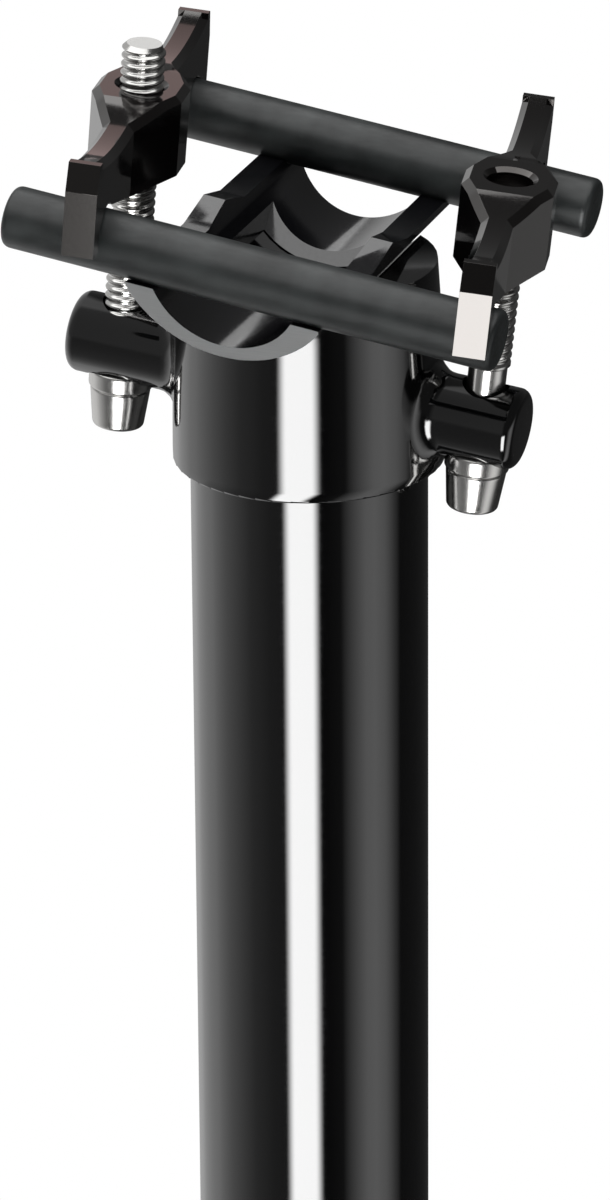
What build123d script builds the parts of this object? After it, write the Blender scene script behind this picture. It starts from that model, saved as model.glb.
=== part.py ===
# Bicycle seatpost with a two-bolt saddle clamp, in millimetres.
# +Z runs up the post, +X points to the front of the bicycle, +Y to the rider's left.
# The origin is the centre of the post's lower end.
import os
from math import cos, radians, sin, tan

from build123d import *

# Post and head
post_length = 350.0  # lower end to where the rail centre line crosses the post axis
post_diameter = 27.2
post_wall = 2.2
post_end_chamfer = 0.6
head_diameter = 31.1  # at the lower rim, from where the sides curve in
head_top_diameter = 29.4
head_rim_drop = 29.2  # rim below the rail centre line
head_rim_round = 0.3
head_top_drop = 5.3  # flat tops before and behind the seat, below the rail centre line
head_top_round = 0.5
bore_end_round = 7.0
seat_floor = 6.0  # metal between the cradle's seat and the bore

# Saddle rail blanks, two straight rods in the place of a saddle's rails
clamp_tilt = 8.3  # degrees, front end low
clamp_swing = 6.0  # degrees of adjustment each way
rail_diameter = 7.0
rail_spacing = 44.0
rail_length = 57.6
rail_stagger = 1.4  # right rod ahead of the post axis, left rod behind it
rail_end_round = 0.9

# Cradle and its seat, a half pipe across the head
seat_set_back = 1.0  # seat axis behind the post axis, along the rods
seat_rise = 3.5  # seat axis above the rail centre line
seat_clearance = 0.15
cradle_radius = 13.4
cradle_width = 22.8
cradle_half_length = 24.5  # at the lips
cradle_end_slope = 17.0  # degrees that the ends lean outwards
cradle_lip_drop = 3.2  # wall tops outside the rods, below the rail centre line
cradle_ridge_drop = 1.0  # wall tops at mid length, below the rail centre line
cradle_shoulder_drop = 2.5  # wall tops from the shoulders to the rods
cradle_shoulder = 6.0  # from the ridge to where the fall ends
arch_radius = 8.9
arch_rise = 0.5  # arch centre above the rail centre line
window_half_length = 9.6  # at the cradle's underside
window_end_slope = 45.0  # degrees that the window's ends lean outwards
window_side_wall = 4.4  # beside the window, from the cradle's flat sides
rail_groove_clearance = 0.05  # radial

# Arms that carry the two bolts
arm_tilt = 6.5  # degrees, front end low
arm_diameter = 9.4
arm_drop = 20.2  # arm axis below the rail centre line
rear_arm_reach = 26.0
front_arm_reach = 28.0
arm_root_round = 2.4
arm_end_round = 1.2

# Bolts and washers, with heights from where a bolt crosses the rail centre line
bolt_diameter = 5.0
bolt_tip_chamfer = 0.5
rear_bolt_reach = 20.8  # from the post axis, along the rods
front_bolt_reach = 23.1
rear_bolt_tilt = 5.0  # degrees, top to the front
front_bolt_tilt = 6.4
rear_bolt_tip = 15.1
front_bolt_tip = 7.7
rear_thread_length = 34.0
front_thread_length = 19.9
shank_diameter = 4.4  # below the rolled thread
arm_hole_clearance = 0.2  # radial
spot_face_depth = 1.3
spot_face_clearance = 0.25  # radial
washer_diameter = 7.4
washer_height = 2.2
washer_round = 0.5
washer_hole_clearance = 0.1  # radial
bolt_head_diameter = 7.0  # under the washer
bolt_head_end_diameter = 5.9
bolt_head_height = 4.8
bolt_head_round = 0.5
socket_across_flats = 4.0
socket_depth = 2.8

# Yokes, one over the rods at each bolt, with heights from the rod centres
yoke_half_length = 28.3
yoke_thickness = 3.6
yoke_top = 10.2
yoke_dip = 1.2  # hollow of the top between the boss and the ends
yoke_end_land = 1.0
yoke_end_chamfer = 0.8
yoke_end_chamfer_height = 3.2
yoke_lip_drop = 0.5  # hook tips below the rod centres
yoke_edge_chamfer = 0.8
yoke_boss_width = 10.4
yoke_boss_flat = 4.6
yoke_boss_base = 0.7  # underside of the boss above the rod centres
yoke_boss_taper_end = 11.0  # from the bolt, where the boss has run out into the plate
yoke_hole_clearance = 0.1  # radial
yoke_hole_chamfer = 0.5
hook_clearance = 0.15  # radial, round the rods
rear_yoke_turn = 7.5  # degrees about the bolt
front_yoke_turn = 11.0
yoke_top_tilt = 26.0  # degrees, the most that the yoke's upper faces lean

# Worked out from the sizes above
post_radius = post_diameter / 2
bore_radius = post_radius - post_wall
head_radius = head_diameter / 2
head_top_radius = head_top_diameter / 2
rim_z = post_length - head_rim_drop
head_top_z = post_length - head_top_drop
seat_radius = cradle_radius + seat_clearance
rail_radius = rail_diameter / 2
rail_offset = rail_spacing / 2
arm_radius = arm_diameter / 2
bolt_radius = bolt_diameter / 2


def tilted(angle):
    """Direction along a line that dips to the front, and its upward normal."""
    tilt = radians(angle)
    return Vector(cos(tilt), 0, -sin(tilt)), Vector(sin(tilt), 0, cos(tilt))


across = Vector(0, 1, 0)
rail_origin = Vector(0, 0, post_length)
rail_along, rail_up = tilted(clamp_tilt)
arm_along, arm_up = tilted(arm_tilt)
arm_origin = rail_origin - arm_up * arm_drop
seat_axis = rail_origin - rail_along * seat_set_back + rail_up * seat_rise
bore_top_z = seat_axis.Z - seat_radius - seat_floor


def rail_plane(side, along):
    """Section plane across the rods, at one side of the clamp and one place along it."""
    return Plane(rail_origin + across * side + rail_along * along, x_dir=across, z_dir=rail_along)


def bolt_plane(reach, tilt):
    """Plane square to a bolt, where the bolt crosses the rail centre line."""
    along, up = tilted(tilt)
    return Plane(rail_origin + rail_along * reach, x_dir=along, z_dir=up)


def washer_seat(station):
    """Height of the spot face under an arm, on the bolt at this station."""
    drop = (station.origin - arm_origin).dot(arm_up) / station.z_dir.dot(arm_up)
    return spot_face_depth - arm_radius - drop


rear_station = bolt_plane(-rear_bolt_reach, rear_bolt_tilt)
front_station = bolt_plane(front_bolt_reach, front_bolt_tilt)

# Post: tube, head, seat for the cradle and the two bolt arms
with BuildPart() as post:
    with BuildSketch(Plane.XZ):
        with BuildLine():
            Polyline((0, 0), (post_radius, 0), (post_radius, rim_z), (0, rim_z), close=True)
        make_face()
    revolve(axis=Axis.Z)
    chamfer(post.edges().filter_by(GeomType.CIRCLE).group_by(Axis.Z)[0], post_end_chamfer)

    # Revolved from the side, so that the head's seam stays clear of the arms' roots
    with BuildSketch(Plane.YZ):
        with BuildLine():
            TangentArc((head_radius, rim_z), (head_top_radius, head_top_z), tangent=(0, 1))
            Polyline((head_top_radius, head_top_z), (0, head_top_z), (0, rim_z), (head_radius, rim_z))
        head = make_face()
        corners = head.vertices().group_by(Axis.Y)
        fillet(corners[0].sort_by(Axis.X)[-1], head_rim_round)
        fillet(corners[-1].sort_by(Axis.X)[-1], head_top_round)
    revolve(axis=Axis.Z)

    for reach in (-rear_arm_reach, front_arm_reach):
        with BuildSketch(Plane(arm_origin, z_dir=arm_along)):
            Circle(arm_radius)
        extrude(amount=reach)
    fillet(post.edges().filter_by(GeomType.BSPLINE), arm_root_round)
    arm_ends = post.faces().filter_by(GeomType.PLANE).sort_by(Axis.X)
    for end_face in (arm_ends[0], arm_ends[-1]):
        fillet(end_face.edges(), arm_end_round)

    with BuildSketch(Plane.XZ):
        with Locations((seat_axis.X, seat_axis.Z)):
            Circle(seat_radius)
    extrude(amount=head_diameter, both=True, mode=Mode.SUBTRACT)

    with BuildSketch(Plane.XZ):
        with BuildLine():
            Polyline((0, 0), (bore_radius, 0), (bore_radius, bore_top_z), (0, bore_top_z), close=True)
        bore = make_face()
        fillet(bore.vertices().group_by(Axis.Y)[-1].sort_by(Axis.X)[-1], bore_end_round)
    revolve(axis=Axis.Z, mode=Mode.SUBTRACT)

    for station in (rear_station, front_station):
        with BuildSketch(station.offset(washer_seat(station))):
            Circle(bolt_radius + arm_hole_clearance)
        extrude(amount=arm_diameter, mode=Mode.SUBTRACT)
        with BuildSketch(station.offset(washer_seat(station))):
            Circle(washer_diameter / 2 + spot_face_clearance)
        extrude(amount=-arm_diameter, mode=Mode.SUBTRACT)
post.part.label = "post"

# Cradle: a trough that carries the rods and tilts in the head's seat
section_plane = Plane(seat_axis, x_dir=rail_along, z_dir=-across)
cradle_floor = seat_rise - cradle_radius
cradle_end_run = (-cradle_lip_drop - cradle_floor) * tan(radians(cradle_end_slope))
window_rise = seat_rise + cradle_radius
window_top_half_length = window_half_length + window_rise * tan(radians(window_end_slope))
with BuildPart() as cradle:
    with BuildSketch(section_plane):
        Circle(cradle_radius)
        Rectangle(cradle_width, 2 * cradle_radius, mode=Mode.INTERSECT)
        with Locations((0, arch_rise - seat_rise)):
            Circle(arch_radius, mode=Mode.SUBTRACT)
    extrude(amount=cradle_half_length, both=True)
    with BuildSketch(rail_plane(0, -seat_set_back)):
        with BuildLine():
            Polyline(
                (0, -cradle_ridge_drop),
                (cradle_shoulder, -cradle_shoulder_drop),
                (rail_offset, -cradle_shoulder_drop),
                (rail_offset, -cradle_lip_drop),
                (cradle_half_length, -cradle_lip_drop),
                (cradle_half_length - cradle_end_run, cradle_floor),
                (0, cradle_floor),
            )
            Line((0, cradle_floor), (0, -cradle_ridge_drop))
        make_face()
        mirror(about=Plane.YZ)
    extrude(amount=cradle_width, both=True, mode=Mode.INTERSECT)
    with BuildSketch(rail_plane(0, -seat_set_back)):
        with BuildLine():
            Polyline(
                (-window_half_length, cradle_floor),
                (window_half_length, cradle_floor),
                (window_top_half_length, window_rise),
                (-window_top_half_length, window_rise),
                close=True,
            )
        make_face()
    extrude(amount=cradle_width / 2 - window_side_wall, both=True, mode=Mode.SUBTRACT)
    for side in (-rail_offset, rail_offset):
        with BuildSketch(rail_plane(side, -seat_set_back)):
            Circle(rail_radius + rail_groove_clearance)
        extrude(amount=cradle_width, both=True, mode=Mode.SUBTRACT)
cradle.part.label = "cradle"


def rail_blank(side, stagger):
    """Straight rod with rounded ends, lying in the cradle's groove at one side."""
    with BuildPart() as rod:
        with BuildSketch(rail_plane(side, stagger)):
            Circle(rail_radius)
        extrude(amount=rail_length / 2, both=True)
        fillet(rod.edges().filter_by(GeomType.CIRCLE), rail_end_round)
    return rod.part


right_rail_blank = rail_blank(-rail_offset, rail_stagger)
right_rail_blank.label = "right_rail_blank"
left_rail_blank = rail_blank(rail_offset, -rail_stagger)
left_rail_blank.label = "left_rail_blank"


def bolt(station, tip, thread_length):
    """Socket head bolt pushed up through an arm."""
    head_top = washer_seat(station) - washer_height
    head_end = head_top - bolt_head_height
    shoulder = tip - thread_length
    with BuildPart() as screw:
        with BuildSketch(Plane(station.origin, x_dir=station.x_dir, z_dir=-across)):
            with BuildLine():
                Polyline(
                    (0, head_end),
                    (bolt_head_end_diameter / 2, head_end),
                    (bolt_head_diameter / 2, head_top),
                    (shank_diameter / 2, head_top),
                    (shank_diameter / 2, shoulder),
                    (bolt_radius, shoulder),
                    (bolt_radius, tip - bolt_tip_chamfer),
                    (bolt_radius - bolt_tip_chamfer, tip),
                    (0, tip),
                    close=True,
                )
            make_face()
        revolve(axis=Axis(station.origin, station.z_dir))
        fillet(screw.edges().filter_by(GeomType.CIRCLE).sort_by(Axis.Z)[0], bolt_head_round)
        with BuildSketch(station.offset(head_end)):
            RegularPolygon(socket_across_flats / 2, 6, major_radius=False)
        extrude(amount=socket_depth, mode=Mode.SUBTRACT)
    return screw.part


def washer(station):
    """Tall washer between an arm's spot face and a bolt head."""
    with BuildPart() as ring:
        with BuildSketch(station.offset(washer_seat(station))):
            Circle(washer_diameter / 2)
            Circle(bolt_radius + washer_hole_clearance, mode=Mode.SUBTRACT)
        extrude(amount=-washer_height)
        outer_edges = ring.edges().filter_by(GeomType.CIRCLE).group_by(SortBy.RADIUS)[-1]
        fillet(outer_edges.sort_by(Axis.Z)[-1], washer_round)
    return ring.part


rear_bolt = bolt(rear_station, rear_bolt_tip, rear_thread_length)
rear_bolt.label = "rear_bolt"
front_bolt = bolt(front_station, front_bolt_tip, front_thread_length)
front_bolt.label = "front_bolt"
rear_washer = washer(rear_station)
rear_washer.label = "rear_washer"
front_washer = washer(front_station)
front_washer.label = "front_washer"


def yoke(station, turn):
    """Plate with a threaded boss and two hooks, held down on the rods by a bolt."""
    turned_along = station.x_dir.rotate(Axis((0, 0, 0), station.z_dir), turn)
    plan = Plane(station.origin, x_dir=turned_along, z_dir=station.z_dir)
    side_view = Plane(plan.origin, x_dir=plan.y_dir, z_dir=plan.x_dir)
    half_plate = yoke_thickness / 2
    half_boss = yoke_boss_width / 2
    half_flat = yoke_boss_flat / 2
    hook_radius = rail_radius + hook_clearance
    hook_out = rail_offset / cos(radians(turn))
    chamfer_start = yoke_half_length - yoke_end_chamfer
    land_start = chamfer_start - yoke_end_land
    dip_middle = (half_boss + land_start) / 2
    with BuildPart() as hooked_plate:
        with BuildSketch(plan.offset(-yoke_lip_drop)):
            Rectangle(yoke_thickness, 2 * land_start)
            with BuildLine():
                Polyline(
                    (half_plate, -yoke_boss_taper_end),
                    (half_boss, -half_flat),
                    (half_boss, half_flat),
                    (half_plate, yoke_boss_taper_end),
                    (-half_plate, yoke_boss_taper_end),
                    (-half_boss, half_flat),
                    (-half_boss, -half_flat),
                    (-half_plate, -yoke_boss_taper_end),
                    close=True,
                )
            make_face()
        extrude(amount=yoke_lip_drop + yoke_top)
        with BuildSketch(side_view):
            with BuildLine():
                Polyline(
                    (0, yoke_top),
                    (0, yoke_boss_base),
                    (yoke_boss_taper_end, yoke_boss_base),
                    (hook_out, hook_radius),
                    (hook_out, -yoke_lip_drop),
                    (land_start, -yoke_lip_drop),
                    (land_start, yoke_top),
                )
                dip = (dip_middle, yoke_top - yoke_dip)
                ThreePointArc((land_start, yoke_top), dip, (half_boss, yoke_top))
                Line((half_boss, yoke_top), (0, yoke_top))
            make_face()
            mirror(about=Plane.YZ)
        extrude(amount=yoke_boss_width, both=True, mode=Mode.INTERSECT)
        upright = cos(radians(yoke_top_tilt))
        upper_faces = hooked_plate.faces().filter_by(lambda face: face.normal_at().dot(plan.z_dir) > upright)
        upper_edges = ShapeList(edge for face in upper_faces for edge in face.edges())
        long_edges = upper_edges.filter_by(lambda edge: abs(edge.tangent_at(0.5).dot(plan.x_dir)) < upright)
        chamfer(long_edges, yoke_edge_chamfer)

        with BuildSketch(side_view):
            with BuildLine():
                Polyline(
                    (land_start, -yoke_lip_drop),
                    (yoke_half_length, -yoke_lip_drop),
                    (yoke_half_length, yoke_top - yoke_end_chamfer_height),
                    (chamfer_start, yoke_top),
                    (land_start, yoke_top),
                    close=True,
                )
            make_face()
            mirror(about=Plane.YZ)
        extrude(amount=half_plate, both=True)

        # The hooks are bell-mouthed, because the rods rock under the yoke as the clamp is tilted
        for swing in (-clamp_swing, 0, clamp_swing):
            for side in (-rail_offset, rail_offset):
                with BuildSketch(Plane(plan.origin + across * side, z_dir=tilted(clamp_tilt + swing)[0])):
                    Circle(hook_radius)
                extrude(amount=yoke_boss_width, both=True, mode=Mode.SUBTRACT)
        with BuildSketch(plan):
            Circle(bolt_radius + yoke_hole_clearance)
        extrude(amount=yoke_top, mode=Mode.SUBTRACT)
        hole_edges = hooked_plate.edges().filter_by(GeomType.CIRCLE).group_by(SortBy.RADIUS)[0]
        chamfer(hole_edges.sort_by(Axis(plan.origin, plan.z_dir))[-1], yoke_hole_chamfer)
    return hooked_plate.part


rear_yoke = yoke(rear_station, rear_yoke_turn)
rear_yoke.label = "rear_yoke"
front_yoke = yoke(front_station, front_yoke_turn)
front_yoke.label = "front_yoke"

os.makedirs("parts", exist_ok=True)
pieces = [
    post.part,
    cradle.part,
    right_rail_blank,
    left_rail_blank,
    rear_yoke,
    front_yoke,
    rear_bolt,
    front_bolt,
    rear_washer,
    front_washer,
]
for piece in pieces:
    export_step(piece, f"parts/{piece.label}.step")
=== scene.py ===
# Bicycle seatpost: finishes, bolt threads, light and camera, in metres
import math
import bmesh
import bpy
from mathutils import Matrix, Vector


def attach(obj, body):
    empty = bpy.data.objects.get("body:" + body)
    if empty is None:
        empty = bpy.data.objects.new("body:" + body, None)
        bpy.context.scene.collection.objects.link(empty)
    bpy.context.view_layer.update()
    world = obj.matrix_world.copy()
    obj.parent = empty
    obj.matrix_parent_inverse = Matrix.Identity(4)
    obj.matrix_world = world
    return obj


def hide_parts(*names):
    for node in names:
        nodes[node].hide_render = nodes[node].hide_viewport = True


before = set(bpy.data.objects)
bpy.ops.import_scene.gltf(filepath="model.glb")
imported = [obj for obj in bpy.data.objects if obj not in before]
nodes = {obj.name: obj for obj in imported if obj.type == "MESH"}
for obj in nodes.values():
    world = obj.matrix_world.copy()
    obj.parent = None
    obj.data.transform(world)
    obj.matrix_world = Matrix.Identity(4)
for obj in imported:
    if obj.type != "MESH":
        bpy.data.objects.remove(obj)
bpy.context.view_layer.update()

scene = bpy.context.scene
mm = 0.001
railSlope = 8.3  # degrees, nose down


def hexColour(code):
    parts = [int(code[i:i + 2], 16) / 255 for i in (1, 3, 5)]
    linear = [c / 12.92 if c <= 0.04045 else ((c + 0.055) / 1.055) ** 2.4 for c in parts]
    return (*linear, 1.0)


def addNode(tree, kind, inputs=None, **settings):
    node = tree.nodes.new(kind)
    for key, value in settings.items():
        setattr(node, key, value)
    for key, value in (inputs or {}).items():
        if isinstance(value, bpy.types.NodeSocket):
            tree.links.new(value, node.inputs[key])
        else:
            node.inputs[key].default_value = value
    return node


def newMaterial(name):
    material = bpy.data.materials.new(name)
    material.use_nodes = True
    tree = material.node_tree
    tree.nodes.clear()
    return material, tree


# Pattern sizes are in millimetres; a Mix node's inputs 2 and 3 are numbers, 6 and 7 colours
anodisedIor = 1.7  # aluminium oxide
noiseLow = 0.3  # most of a noise lies between these two
noiseHigh = 0.7

# Gloss black anodised aluminium, polished before dyeing: a black mirror with faint polishing rings,
# which are drawn coarser than real ones, because those would be too fine to show
postFinish = dict(colour="#050506", roughLow=0.05, roughHigh=0.10, ringWidth=0.5, ringLength=40.0, cloud=30.0,
                  blendLow=0.10, blendHigh=0.45)
postMaterial, tree = newMaterial("glossBlackAnodisedAluminium")
coords = addNode(tree, "ShaderNodeTexCoord").outputs["Object"]
ringScale = (1 / postFinish["ringLength"], 1 / postFinish["ringLength"], 1 / postFinish["ringWidth"])
rings = addNode(tree, "ShaderNodeMapping", {"Vector": coords, "Scale": ringScale}).outputs["Vector"]
ringNoise = addNode(tree, "ShaderNodeTexNoise", {"Vector": rings, "Scale": 1 / mm, "Detail": 2.0})
cloudNoise = addNode(tree, "ShaderNodeTexNoise", {"Vector": coords, "Scale": 1 / (postFinish["cloud"] * mm),
                     "Detail": 3.0})
blend = addNode(tree, "ShaderNodeMath", {0: ringNoise.outputs["Fac"], 1: cloudNoise.outputs["Fac"]},
                operation="MULTIPLY")
rough = addNode(tree, "ShaderNodeMapRange", {"Value": blend.outputs[0],
                "From Min": postFinish["blendLow"], "From Max": postFinish["blendHigh"],
                "To Min": postFinish["roughLow"], "To Max": postFinish["roughHigh"]})
shader = addNode(tree, "ShaderNodeBsdfPrincipled", {"Base Color": hexColour(postFinish["colour"]),
                 "Roughness": rough.outputs["Result"], "IOR": anodisedIor})
addNode(tree, "ShaderNodeOutputMaterial", {"Surface": shader.outputs["BSDF"]})

# Tumbled and dyed aluminium: black and glossy, with a brownish cast where it mirrors pale things
yokeFinish = dict(colour="#060505", tint="#f5f0ec", roughLow=0.05, roughHigh=0.09, grain=0.25)
yokeMaterial, tree = newMaterial("tumbledBlackAnodisedAluminium")
coords = addNode(tree, "ShaderNodeTexCoord").outputs["Object"]
grain = addNode(tree, "ShaderNodeTexNoise", {"Vector": coords, "Scale": 1 / (yokeFinish["grain"] * mm),
                "Detail": 3.0})
rough = addNode(tree, "ShaderNodeMapRange", {"Value": grain.outputs["Fac"],
                "From Min": noiseLow, "From Max": noiseHigh,
                "To Min": yokeFinish["roughLow"], "To Max": yokeFinish["roughHigh"]})
shader = addNode(tree, "ShaderNodeBsdfPrincipled", {"Base Color": hexColour(yokeFinish["colour"]),
                 "Roughness": rough.outputs["Result"], "IOR": anodisedIor,
                 "Specular Tint": hexColour(yokeFinish["tint"])})
addNode(tree, "ShaderNodeOutputMaterial", {"Surface": shader.outputs["BSDF"]})

# Dyed aluminium extrusion, sawn off after dyeing: glossy black, with dull grey bare metal on the cut ends
cradleFinish = dict(colour="#08080a", bare="#787979", roughLow=0.10, roughHigh=0.17, grain=0.4,
                    bareLow=0.46, bareHigh=0.58, sawWidth=0.15, sawLength=12.0)
cradleMaterial, tree = newMaterial("sawnBlackAnodisedAluminium")
coords = addNode(tree, "ShaderNodeTexCoord").outputs["Object"]
sawn = addNode(tree, "ShaderNodeAttribute", attribute_name="sawnEnd").outputs["Fac"]
grain = addNode(tree, "ShaderNodeTexNoise", {"Vector": coords, "Scale": 1 / (cradleFinish["grain"] * mm),
                "Detail": 4.0})
dyedRough = addNode(tree, "ShaderNodeMapRange", {"Value": grain.outputs["Fac"],
                    "From Min": noiseLow, "From Max": noiseHigh,
                    "To Min": cradleFinish["roughLow"], "To Max": cradleFinish["roughHigh"]})
sawScale = (1 / cradleFinish["sawLength"], 1, 1 / cradleFinish["sawWidth"])
sawing = addNode(tree, "ShaderNodeMapping", {"Vector": coords, "Scale": sawScale}).outputs["Vector"]
sawNoise = addNode(tree, "ShaderNodeTexNoise", {"Vector": sawing, "Scale": 1 / mm, "Detail": 2.0})
sawRough = addNode(tree, "ShaderNodeMapRange", {"Value": sawNoise.outputs["Fac"],
                   "From Min": noiseLow, "From Max": noiseHigh,
                   "To Min": cradleFinish["bareLow"], "To Max": cradleFinish["bareHigh"]})
rough = addNode(tree, "ShaderNodeMix", {0: sawn, 2: dyedRough.outputs["Result"],
                3: sawRough.outputs["Result"]}, data_type="FLOAT")
tone = addNode(tree, "ShaderNodeMix", {0: sawn, 6: hexColour(cradleFinish["colour"]),
               7: hexColour(cradleFinish["bare"])}, data_type="RGBA")
shader = addNode(tree, "ShaderNodeBsdfPrincipled", {"Base Color": tone.outputs[2], "Metallic": sawn,
                 "Roughness": rough.outputs[0], "IOR": anodisedIor})
addNode(tree, "ShaderNodeOutputMaterial", {"Surface": shader.outputs["BSDF"]})

# Extruded nylon rod: satin dark grey, blotchy, with faint lengthwise draw lines
rodFinish = dict(dark="#111414", pale="#2c2f2f", roughLow=0.34, roughHigh=0.48, ior=1.5, specular=0.36,
                 lineWidth=0.35, lineLength=30.0, blotch=5.0, blotchLow=0.32, blotchHigh=0.68)
rodMaterial, tree = newMaterial("extrudedNylon")
coords = addNode(tree, "ShaderNodeTexCoord").outputs["Object"]
lines = addNode(tree, "ShaderNodeMapping", {"Vector": coords, "Rotation": (0, math.radians(-railSlope), 0),
                "Scale": (rodFinish["lineLength"], rodFinish["lineWidth"], rodFinish["lineWidth"])},
                vector_type="TEXTURE").outputs["Vector"]
lineNoise = addNode(tree, "ShaderNodeTexNoise", {"Vector": lines, "Scale": 1 / mm, "Detail": 3.0})
blotches = addNode(tree, "ShaderNodeTexNoise", {"Vector": coords, "Scale": 1 / (rodFinish["blotch"] * mm),
                   "Detail": 4.0})
patchy = addNode(tree, "ShaderNodeMapRange", {"Value": blotches.outputs["Fac"],
                 "From Min": rodFinish["blotchLow"], "From Max": rodFinish["blotchHigh"]})
tone = addNode(tree, "ShaderNodeMix", {0: patchy.outputs["Result"], 6: hexColour(rodFinish["dark"]),
               7: hexColour(rodFinish["pale"])}, data_type="RGBA")
rough = addNode(tree, "ShaderNodeMapRange", {"Value": lineNoise.outputs["Fac"],
                "From Min": noiseLow, "From Max": noiseHigh,
                "To Min": rodFinish["roughLow"], "To Max": rodFinish["roughHigh"]})
shader = addNode(tree, "ShaderNodeBsdfPrincipled", {"Base Color": tone.outputs[2],
                 "Roughness": rough.outputs["Result"], "IOR": rodFinish["ior"],
                 "Specular IOR Level": rodFinish["specular"]})
addNode(tree, "ShaderNodeOutputMaterial", {"Surface": shader.outputs["BSDF"]})

# Stainless steel, turned and rolled: bright, with fine turning rings
steelFinish = dict(colour="#b4b3b1", roughLow=0.20, roughHigh=0.25, ringWidth=0.12, ringLength=6.0)
steelMaterial, tree = newMaterial("turnedStainlessSteel")
coords = addNode(tree, "ShaderNodeTexCoord").outputs["Object"]
turnScale = (1 / steelFinish["ringLength"], 1 / steelFinish["ringLength"], 1 / steelFinish["ringWidth"])
turning = addNode(tree, "ShaderNodeMapping", {"Vector": coords, "Scale": turnScale}).outputs["Vector"]
turnNoise = addNode(tree, "ShaderNodeTexNoise", {"Vector": turning, "Scale": 1 / mm, "Detail": 2.0})
rough = addNode(tree, "ShaderNodeMapRange", {"Value": turnNoise.outputs["Fac"],
                "From Min": noiseLow, "From Max": noiseHigh,
                "To Min": steelFinish["roughLow"], "To Max": steelFinish["roughHigh"]})
shader = addNode(tree, "ShaderNodeBsdfPrincipled", {"Base Color": hexColour(steelFinish["colour"]),
                 "Metallic": 1.0, "Roughness": rough.outputs["Result"]})
addNode(tree, "ShaderNodeOutputMaterial", {"Surface": shader.outputs["BSDF"]})
print("materials ready")


def finishPiece(name, mesh, material, body, node):
    mesh.materials.clear()
    mesh.materials.append(material)
    piece = bpy.data.objects.new(name, mesh)
    scene.collection.objects.link(piece)
    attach(piece, body)
    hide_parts(node)


weldGap = 0.0005 * mm


def cadCopy(node, name):
    # CAD triangles are loose, so equal corners are merged
    bm = bmesh.new()
    bm.from_mesh(nodes[node].data)
    bmesh.ops.remove_doubles(bm, verts=bm.verts, dist=weldGap)
    mesh = bpy.data.meshes.new(name)
    mesh.from_pydata([v.co[:] for v in bm.verts], [], [[v.index for v in f.verts] for f in bm.faces])
    bm.free()
    return mesh


def smoothByAngle(mesh, degrees):
    for polygon in mesh.polygons:
        polygon.use_smooth = True
    mesh.set_sharp_from_angle(angle=math.radians(degrees))


def plainMesh(carrier, name):
    # The mesh as its modifiers leave it; the carrier goes
    bpy.context.view_layer.update()
    evaluated = carrier.evaluated_get(bpy.context.evaluated_depsgraph_get())
    mesh = bpy.data.meshes.new_from_object(evaluated)
    bpy.data.objects.remove(carrier)
    mesh.name = name
    return mesh


# Post, one piece with its head and bolt arms
post = dict(smooth=32)
postMesh = cadCopy("post", "seatpost")
smoothByAngle(postMesh, post["smooth"])
finishPiece("seatpost", postMesh, postMaterial, "post", "post")

# Cradle and yokes, with their edges broken: widths, and the angles in degrees past which an edge counts
edges = dict(cradle=0.10 * mm, yoke=0.16 * mm, cradleLimit=28, yokeLimit=12, flat=0.5, segments=2,
             sawnFacing=0.9)


def softenEdges(mesh, width, limit):
    # Flat faces are made whole first, so that only true edges are broken
    bm = bmesh.new()
    bm.from_mesh(mesh)
    bmesh.ops.dissolve_limit(bm, angle_limit=math.radians(edges["flat"]), verts=bm.verts, edges=bm.edges)
    bm.to_mesh(mesh)
    bm.free()
    smoothByAngle(mesh, limit)
    carrier = bpy.data.objects.new("softening", mesh)
    scene.collection.objects.link(carrier)
    bevel = carrier.modifiers.new("edges", "BEVEL")
    bevel.width = width
    bevel.segments = edges["segments"]
    bevel.limit_method = "ANGLE"
    bevel.angle_limit = math.radians(limit)
    weighted = carrier.modifiers.new("flatFaces", "WEIGHTED_NORMAL")
    weighted.keep_sharp = True
    return plainMesh(carrier, mesh.name)


cradleMesh = softenEdges(cadCopy("cradle", "railCradle"), edges["cradle"], edges["cradleLimit"])
sawnFaces = cradleMesh.attributes.new("sawnEnd", "FLOAT", "FACE")
facings = [float(abs(face.normal.y) > edges["sawnFacing"]) for face in cradleMesh.polygons]
sawnFaces.data.foreach_set("value", facings)
finishPiece("railCradle", cradleMesh, cradleMaterial, "clamp", "cradle")
for node, name in (("rear_yoke", "rearYoke"), ("front_yoke", "frontYoke")):
    yokeMesh = softenEdges(cadCopy(node, name), edges["yoke"], edges["yokeLimit"])
    finishPiece(name, yokeMesh, yokeMaterial, node, node)
print("post, cradle and yokes ready")

poleRadius = 0.02 * mm  # a turned piece closes on its axis from here
turnedSmooth = 40  # degrees


def rounded(points, steps):
    # Each point is (radius, height, corner round); the rounds become short curves
    outline = []
    for i, (r, z, corner) in enumerate(points):
        here = Vector((r, z))
        if corner == 0:
            outline.append(here)
            continue
        back = Vector(points[i - 1][:2]) - here
        ahead = Vector(points[i + 1][:2]) - here
        half = back.angle(ahead) / 2
        reach = corner / math.tan(half)
        start = here + back.normalized() * reach
        end = here + ahead.normalized() * reach
        for k in range(steps + 1):
            t = k / steps
            outline.append(start * (1 - t) ** 2 + here * (2 * t * (1 - t)) + end * t ** 2)
    return [(p.x, p.y) for p in outline]


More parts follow.
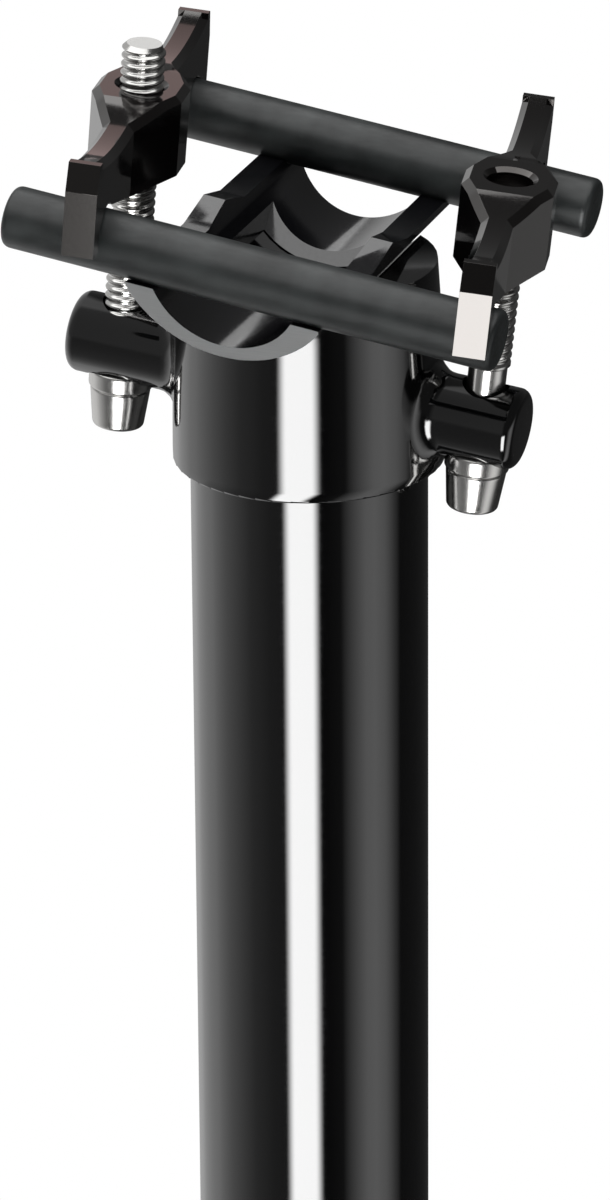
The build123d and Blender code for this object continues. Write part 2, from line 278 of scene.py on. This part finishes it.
def ringMesh(name, rings, segments, loop=False):
    # Each ring is (radius, or radius by angle, and height); the ends close on the axis unless the rings loop
    corners = []
    faces = []
    for radius, z in rings:
        for k in range(segments):
            angle = 2 * math.pi * k / segments
            r = radius(angle) if callable(radius) else radius
            corners.append((r * math.cos(angle), r * math.sin(angle), z))
    count = len(rings)
    for i in range(count if loop else count - 1):
        low = i * segments
        high = ((i + 1) % count) * segments
        for k in range(segments):
            n = (k + 1) % segments
            faces.append((low + k, low + n, high + n, high + k))
    if not loop:
        corners.append((0, 0, rings[0][1]))
        corners.append((0, 0, rings[-1][1]))
        first = len(corners) - 2
        for k in range(segments):
            n = (k + 1) % segments
            faces.append((first, n, k))
            faces.append((first + 1, (count - 1) * segments + k, (count - 1) * segments + n))
    mesh = bpy.data.meshes.new(name)
    mesh.from_pydata(corners, [], faces)
    bm = bmesh.new()
    bm.from_mesh(mesh)
    bmesh.ops.recalc_face_normals(bm, faces=bm.faces)
    bm.to_mesh(mesh)
    bm.free()
    return mesh


def leanAndMove(mesh, lean, origin):
    mesh.transform(Matrix.Translation(origin) @ Matrix.Rotation(math.radians(lean), 4, "Y"))


# Rods in the clamp, with rounded ends
rails = dict(height=350 * mm, radius=3.5 * mm, length=57.6 * mm, offset=22 * mm, stagger=1.4 * mm,
             endRound=0.9 * mm, roundSteps=8, segments=96)
railOrigin = Vector((0, 0, rails["height"]))
railAlong = Vector((math.cos(math.radians(railSlope)), 0, -math.sin(math.radians(railSlope))))
halfRod = rails["length"] / 2
rodOutline = rounded([
    (poleRadius, -halfRod, 0),
    (rails["radius"], -halfRod, rails["endRound"]),
    (rails["radius"], halfRod, rails["endRound"]),
    (poleRadius, halfRod, 0),
], rails["roundSteps"])
for node, name, side in (("right_rail_blank", "rightRailBlank", -1), ("left_rail_blank", "leftRailBlank", 1)):
    rodMesh = ringMesh(name, rodOutline, rails["segments"])
    rodMiddle = railOrigin + Vector((0, side * rails["offset"], 0)) - railAlong * (side * rails["stagger"])
    leanAndMove(rodMesh, 90 + railSlope, rodMiddle)
    smoothByAngle(rodMesh, turnedSmooth)
    finishPiece(name, rodMesh, rodMaterial, "clamp", node)
print("rods ready")

# Rolled thread, cut into a plain turned shank by moving its points inwards along a helix;
# crestEnd and rootStart are shares of a pitch, from the middle of the crest
thread = dict(pitch=1.0 * mm, depth=0.34 * mm, crestEnd=0.06, rootStart=0.44, ringsPerPitch=12,
              runOut=0.9 * mm)
threadTree = bpy.data.node_groups.new("rolledThread", "GeometryNodeTree")
threadTree.interface.new_socket("Geometry", in_out="INPUT", socket_type="NodeSocketGeometry")
threadTree.interface.new_socket("Pitch", in_out="INPUT", socket_type="NodeSocketFloat")
threadTree.interface.new_socket("Depth", in_out="INPUT", socket_type="NodeSocketFloat")
threadTree.interface.new_socket("Finish", in_out="INPUT", socket_type="NodeSocketMaterial")
threadTree.interface.new_socket("Geometry", in_out="OUTPUT", socket_type="NodeSocketGeometry")
given = addNode(threadTree, "NodeGroupInput").outputs
point = addNode(threadTree, "GeometryNodeInputPosition").outputs[0]
axes = addNode(threadTree, "ShaderNodeSeparateXYZ", {0: point}).outputs
turn = addNode(threadTree, "ShaderNodeMath", {0: axes["Y"], 1: axes["X"]}, operation="ARCTAN2").outputs[0]
turnShare = addNode(threadTree, "ShaderNodeMath", {0: turn, 1: 2 * math.pi}, operation="DIVIDE").outputs[0]
pitches = addNode(threadTree, "ShaderNodeMath", {0: axes["Z"], 1: given["Pitch"]},
                  operation="DIVIDE").outputs[0]
helix = addNode(threadTree, "ShaderNodeMath", {0: pitches, 1: turnShare}, operation="SUBTRACT").outputs[0]
flank = addNode(threadTree, "ShaderNodeMath", {0: helix, 1: 0.5}, operation="PINGPONG").outputs[0]
groove = addNode(threadTree, "ShaderNodeMapRange", {"Value": flank, "From Min": thread["crestEnd"],
                 "From Max": thread["rootStart"], "To Max": -1.0},
                 interpolation_type="SMOOTHSTEP").outputs["Result"]
share = addNode(threadTree, "GeometryNodeInputNamedAttribute", {"Name": "threadShare"},
                data_type="FLOAT").outputs[0]
cut = addNode(threadTree, "ShaderNodeMath", {0: groove, 1: given["Depth"]}, operation="MULTIPLY").outputs[0]
inward = addNode(threadTree, "ShaderNodeMath", {0: cut, 1: share}, operation="MULTIPLY").outputs[0]
flatPoint = addNode(threadTree, "ShaderNodeVectorMath", {0: point, 1: (1, 1, 0)},
                    operation="MULTIPLY").outputs[0]
outward = addNode(threadTree, "ShaderNodeVectorMath", {0: flatPoint}, operation="NORMALIZE").outputs[0]
move = addNode(threadTree, "ShaderNodeVectorMath", {0: outward, "Scale": inward},
               operation="SCALE").outputs[0]
moved = addNode(threadTree, "GeometryNodeSetPosition", {"Geometry": given["Geometry"], "Offset": move})
whole = addNode(threadTree, "GeometryNodeRealizeInstances", {"Geometry": moved.outputs[0]})
painted = addNode(threadTree, "GeometryNodeSetMaterial", {"Geometry": whole.outputs[0],
                  "Material": given["Finish"]})
addNode(threadTree, "NodeGroupOutput", {"Geometry": painted.outputs[0]})
threadInputs = {s.name: s.identifier for s in threadTree.interface.items_tree if s.in_out == "INPUT"}


def rollThread(mesh):
    carrier = bpy.data.objects.new("rolling", mesh)
    scene.collection.objects.link(carrier)
    modifier = carrier.modifiers.new("thread", "NODES")
    modifier.node_group = threadTree
    modifier[threadInputs["Pitch"]] = thread["pitch"]
    modifier[threadInputs["Depth"]] = thread["depth"]
    modifier[threadInputs["Finish"]] = steelMaterial
    return plainMesh(carrier, mesh.name)


# Bolts and washers, with heights from where a bolt crosses the rods' centre line
arms = dict(lean=6.5, drop=20.2 * mm, radius=4.7 * mm, spotFace=1.3 * mm)
bolts = dict(radius=2.5 * mm, shank=2.2 * mm, tipChamfer=0.5 * mm, neck=0.25 * mm, headTop=3.5 * mm,
             headEnd=2.95 * mm, headHeight=4.8 * mm, headRound=0.4 * mm, endRound=0.5 * mm, socket=2.0 * mm,
             socketRim=2.34 * mm, socketDepth=2.8 * mm, drillPoint=0.4 * mm, roundSteps=4, segments=48)
washers = dict(radius=3.7 * mm, hole=2.6 * mm, height=2.2 * mm, topRound=0.5 * mm, lowRound=0.35 * mm,
               roundSteps=5, segments=72)
stations = dict(
    rear=dict(reach=-20.8 * mm, lean=5.0, tip=15.1 * mm, threaded=34.0 * mm),
    front=dict(reach=23.1 * mm, lean=6.4, tip=7.7 * mm, threaded=19.9 * mm),
)


def leaningUp(degrees):
    return Vector((math.sin(math.radians(degrees)), 0, math.cos(math.radians(degrees))))


def hexagon(angle):
    return bolts["socket"] / math.cos((angle % (math.pi / 3)) - math.pi / 6)


armUp = leaningUp(arms["lean"])
armOrigin = railOrigin - armUp * arms["drop"]
for end, station in stations.items():
    axis = leaningUp(station["lean"])
    origin = railOrigin + railAlong * station["reach"]
    seat = arms["spotFace"] - arms["radius"] - (origin - armOrigin).dot(armUp) / axis.dot(armUp)
    headTop = seat - washers["height"]
    headEnd = headTop - bolts["headHeight"]
    socketFloor = headEnd + bolts["socketDepth"]
    tip = station["tip"]
    threadTop = tip - bolts["tipChamfer"]
    threadEnd = tip - station["threaded"]

    rings = [(poleRadius, socketFloor + bolts["drillPoint"]), (hexagon, socketFloor), (hexagon, headEnd)]
    rings += rounded([
        (bolts["socketRim"], headEnd, 0),
        (bolts["headEnd"], headEnd, bolts["endRound"]),
        (bolts["headTop"], headTop, bolts["headRound"]),
        (bolts["shank"], headTop, 0),
    ], bolts["roundSteps"])
    rings += [(bolts["shank"], threadEnd - bolts["neck"])]
    firstThread = len(rings)
    count = round(station["threaded"] / thread["pitch"] * thread["ringsPerPitch"])
    rings += [(bolts["radius"], threadEnd + (threadTop - threadEnd) * k / count) for k in range(count + 1)]
    lastThread = len(rings) - 1
    rings += [(bolts["radius"] - bolts["tipChamfer"], tip), (poleRadius, tip)]
    boltMesh = ringMesh(end + "Bolt", rings, bolts["segments"])

    # How deep the thread is cut at each point, from none at its end to full past the run-out
    values = [0.0] * len(boltMesh.vertices)
    for i in range(firstThread, lastThread + 1):
        cutShare = min(1.0, (rings[i][1] - threadEnd) / thread["runOut"])
        for k in range(bolts["segments"]):
            values[i * bolts["segments"] + k] = cutShare
    shares = boltMesh.attributes.new("threadShare", "FLOAT", "POINT")
    shares.data.foreach_set("value", values)
    boltMesh = rollThread(boltMesh)
    leanAndMove(boltMesh, station["lean"], origin)
    smoothByAngle(boltMesh, turnedSmooth)
    finishPiece(end + "Bolt", boltMesh, steelMaterial, "post", end + "_bolt")

    washerOutline = rounded([
        (washers["hole"], headTop, 0),
        (washers["radius"], headTop, washers["lowRound"]),
        (washers["radius"], seat, washers["topRound"]),
        (washers["hole"], seat, 0),
    ], washers["roundSteps"])
    washerMesh = ringMesh(end + "Washer", washerOutline, washers["segments"], loop=True)
    leanAndMove(washerMesh, station["lean"], origin)
    smoothByAngle(washerMesh, turnedSmooth)
    finishPiece(end + "Washer", washerMesh, steelMaterial, "post", end + "_washer")
print("bolts and washers ready")

# Floor, a round pale table top that fades into the white surroundings and that mirrors don't see
floor = dict(hub=0.01, radius=0.40, fade=0.18, top=-0.0005, base=-0.004, segments=96, colour="#efefee",
             rough=0.7)
floorRings = [(floor["hub"], floor["top"]), (floor["radius"], floor["top"]),
              (floor["radius"], floor["base"]), (floor["hub"], floor["base"])]
floorMesh = ringMesh("floor", floorRings, floor["segments"])
floorMaterial, tree = newMaterial("paleMattTableTop")
coords = addNode(tree, "ShaderNodeTexCoord").outputs["Object"]
reach = addNode(tree, "ShaderNodeVectorMath", {0: coords}, operation="LENGTH").outputs["Value"]
fade = addNode(tree, "ShaderNodeMapRange", {"Value": reach, "From Min": floor["fade"],
               "From Max": floor["radius"]}, interpolation_type="SMOOTHSTEP").outputs["Result"]
matt = addNode(tree, "ShaderNodeBsdfPrincipled", {"Base Color": hexColour(floor["colour"]),
               "Roughness": floor["rough"]})
clear = addNode(tree, "ShaderNodeBsdfTransparent")
fromWithin = addNode(tree, "ShaderNodeNewGeometry").outputs["Backfacing"]
unseen = addNode(tree, "ShaderNodeMath", {0: fade, 1: fromWithin}, operation="MAXIMUM").outputs[0]
mixed = addNode(tree, "ShaderNodeMixShader", {0: unseen, 1: matt.outputs[0], 2: clear.outputs[0]})
addNode(tree, "ShaderNodeOutputMaterial", {"Surface": mixed.outputs[0]})
floorMesh.materials.append(floorMaterial)
floorPiece = bpy.data.objects.new("floor", floorMesh)
scene.collection.objects.link(floorPiece)
floorPiece.visible_glossy = False

# Camera, fitted to the rods, the tube and the head's rim
view = dict(azimuth=19.5, elevation=22.304, roll=-0.421, distance=816.1 * mm, lens=212.676, sensor=36.0,
            target=(-0.652 * mm, 0.077 * mm, 302.725 * mm), clipStart=10 * mm)
azimuth = math.radians(view["azimuth"])
elevation = math.radians(view["elevation"])
roll = math.radians(view["roll"])
towards = Vector((math.cos(elevation) * math.sin(azimuth), -math.cos(elevation) * math.cos(azimuth),
                  math.sin(elevation)))
level = Vector((math.cos(azimuth), math.sin(azimuth), 0))
upright = level.cross(-towards)
right = level * math.cos(roll) + upright * math.sin(roll)
upwards = upright * math.cos(roll) - level * math.sin(roll)
cameraPlace = Vector(view["target"]) + towards * view["distance"]
cameraData = bpy.data.cameras.new("camera")
cameraData.sensor_fit = "VERTICAL"
cameraData.sensor_height = view["sensor"]
cameraData.lens = view["lens"]
cameraData.clip_start = view["clipStart"]
camera = bpy.data.objects.new("camera", cameraData)
camera.matrix_world = Matrix((
    (right.x, upwards.x, towards.x, cameraPlace.x),
    (right.y, upwards.y, towards.y, cameraPlace.y),
    (right.z, upwards.z, towards.z, cameraPlace.z),
    (0, 0, 0, 1),
))
scene.collection.objects.link(camera)
scene.camera = camera

# Studio: white to the camera, while mirrors see a low softbox and walls
# that are pale to the left and in one strip to the right; sideBlur is a share of a turn,
# levelBlur and horizon are heights on a sphere of radius 1
studio = dict(peak=1.25, fill=0.30, horizon=0.10, softbox=13.5, boxLeft=-22.8, boxRight=6.0, boxLow=-48.0,
              boxHigh=-6.0, sideBlur=0.013, levelBlur=0.05)
# Brightness by degrees from the camera, to the right positive, below and above the horizon
lowWalls = (
    (-180, 0.10), (-174, 0.40), (-165, 0.50), (-150, 0.76), (-110, 0.86), (-90, 0.56), (-60, 0.21),
    (-40, 0.12), (-26, 0.10), (12, 0.02), (30, 0.05), (44, 0.53), (56, 0.91), (66, 0.96), (78, 0.72),
    (90, 0.25), (98, 0.03), (178, 0.03),
)
highWalls = (
    (-180, 0.10), (-174, 0.50), (-130, 0.60), (-90, 0.25), (-30, 0.20), (-10, 0.06), (110, 0.05), (178, 0.08),
)


def turnAt(degrees):
    return 0.5 + degrees / 360  # the camera stands at half a turn


def riseAt(degrees):
    return math.sin(math.radians(degrees))  # height on a sphere of radius 1


world = bpy.data.worlds.new("studio")
scene.world = world
world.use_nodes = True
tree = world.node_tree
tree.nodes.clear()
path = addNode(tree, "ShaderNodeLightPath").outputs
heading = addNode(tree, "ShaderNodeTexCoord").outputs["Generated"]
turned = addNode(tree, "ShaderNodeMapping", {"Vector": heading,
                 "Rotation": (0, 0, math.radians(90) - azimuth)}, vector_type="POINT").outputs["Vector"]
around = addNode(tree, "ShaderNodeTexGradient", {"Vector": turned}, gradient_type="RADIAL").outputs["Fac"]
rise = addNode(tree, "ShaderNodeSeparateXYZ", {0: heading}).outputs["Z"]
bands = []
for walls in (lowWalls, highWalls):
    ramp = addNode(tree, "ShaderNodeValToRGB", {"Fac": around})
    elements = ramp.color_ramp.elements
    while len(elements) > 1:
        elements.remove(elements[-1])
    for i, (angle, brightness) in enumerate(walls):
        element = elements[0] if i == 0 else elements.new(turnAt(angle))
        element.color = (brightness, brightness, brightness, 1)
    bands.append(ramp.outputs["Color"])
overHorizon = addNode(tree, "ShaderNodeMapRange", {"Value": rise, "From Min": -studio["horizon"],
                      "From Max": studio["horizon"]}, interpolation_type="SMOOTHSTEP").outputs["Result"]
band = addNode(tree, "ShaderNodeMix", {0: overHorizon, 6: bands[0], 7: bands[1]}, data_type="RGBA").outputs[2]
surround = addNode(tree, "ShaderNodeMath", {0: band, 1: studio["peak"]}, operation="MULTIPLY").outputs[0]
boxLight = studio["softbox"]
for value, edge, blur in ((around, turnAt(studio["boxLeft"]), studio["sideBlur"]),
                          (around, turnAt(studio["boxRight"]), -studio["sideBlur"]),
                          (rise, riseAt(studio["boxLow"]), studio["levelBlur"]),
                          (rise, riseAt(studio["boxHigh"]), -studio["levelBlur"])):
    inside = addNode(tree, "ShaderNodeMapRange", {"Value": value, "From Min": edge - blur,
                     "From Max": edge + blur}, interpolation_type="SMOOTHSTEP").outputs["Result"]
    boxLight = addNode(tree, "ShaderNodeMath", {0: boxLight, 1: inside}, operation="MULTIPLY").outputs[0]
mirrored = addNode(tree, "ShaderNodeMath", {0: surround, 1: boxLight}, operation="ADD").outputs[0]
plain = addNode(tree, "ShaderNodeMath", {0: path["Is Camera Ray"], 1: path["Is Transmission Ray"]},
                operation="MAXIMUM").outputs[0]
glossy = addNode(tree, "ShaderNodeMix", {0: path["Is Glossy Ray"], 2: studio["fill"], 3: mirrored},
                 data_type="FLOAT").outputs[0]
strength = addNode(tree, "ShaderNodeMix", {0: plain, 2: glossy, 3: 1.0}, data_type="FLOAT").outputs[0]
backdrop = addNode(tree, "ShaderNodeBackground", {"Color": (1, 1, 1, 1), "Strength": strength})
addNode(tree, "ShaderNodeOutputWorld", {"Surface": backdrop.outputs[0]})

# Overhead softbox and three cards near the clamp, each for the pieces that the photo shows lit by it
steelNames = ("rearBolt", "frontBolt", "rearWasher", "frontWasher")
rearCard = dict(place=(-0.0676, 0.1278, 0.417), aim=(-0.0342, 0.0335, 0.417), size=(0.060, 0.074))
lamps = dict(
    overhead=dict(place=(-0.05, -0.10, 1.20), aim=(0, 0, 0.34), size=(1.7, 1.7), power=20.0, colour="#ffffff",
                  lights=("railCradle", "rearYoke", "frontYoke", "rightRailBlank", "leftRailBlank", "floor",
                          *steelNames)),
    whiteCard=dict(**rearCard, power=0.0167, colour="#ffffff", lights=("railCradle", *steelNames)),
    brownCard=dict(**rearCard, power=0.0085, colour="#ffdcd8", lights=("rearYoke",)),
    sideCard=dict(place=(0.079, 0.072, 0.309), aim=(0.0287, -0.0022, 0.3506), size=(0.08, 0.08), power=0.0054,
                  colour="#ffffff", lights=("frontYoke",)),
)
for name, lamp in lamps.items():
    light = bpy.data.lights.new(name, "AREA")
    light.shape = "RECTANGLE"
    light.size, light.size_y = lamp["size"]
    light.energy = lamp["power"]
    light.color = hexColour(lamp["colour"])[:3]
    shine = bpy.data.objects.new(name, light)
    aim = Vector(lamp["aim"]) - Vector(lamp["place"])
    shine.matrix_world = Matrix.Translation(lamp["place"]) @ aim.to_track_quat("-Z", "Y").to_matrix().to_4x4()
    shine.visible_camera = False
    scene.collection.objects.link(shine)
    lit = bpy.data.collections.new(name + "Lights")
    for pieceName in lamp["lights"]:
        lit.objects.link(bpy.data.objects[pieceName])
    shine.light_linking.receiver_collection = lit

scene.view_settings.view_transform = "Standard"
print("stage, light and camera ready")
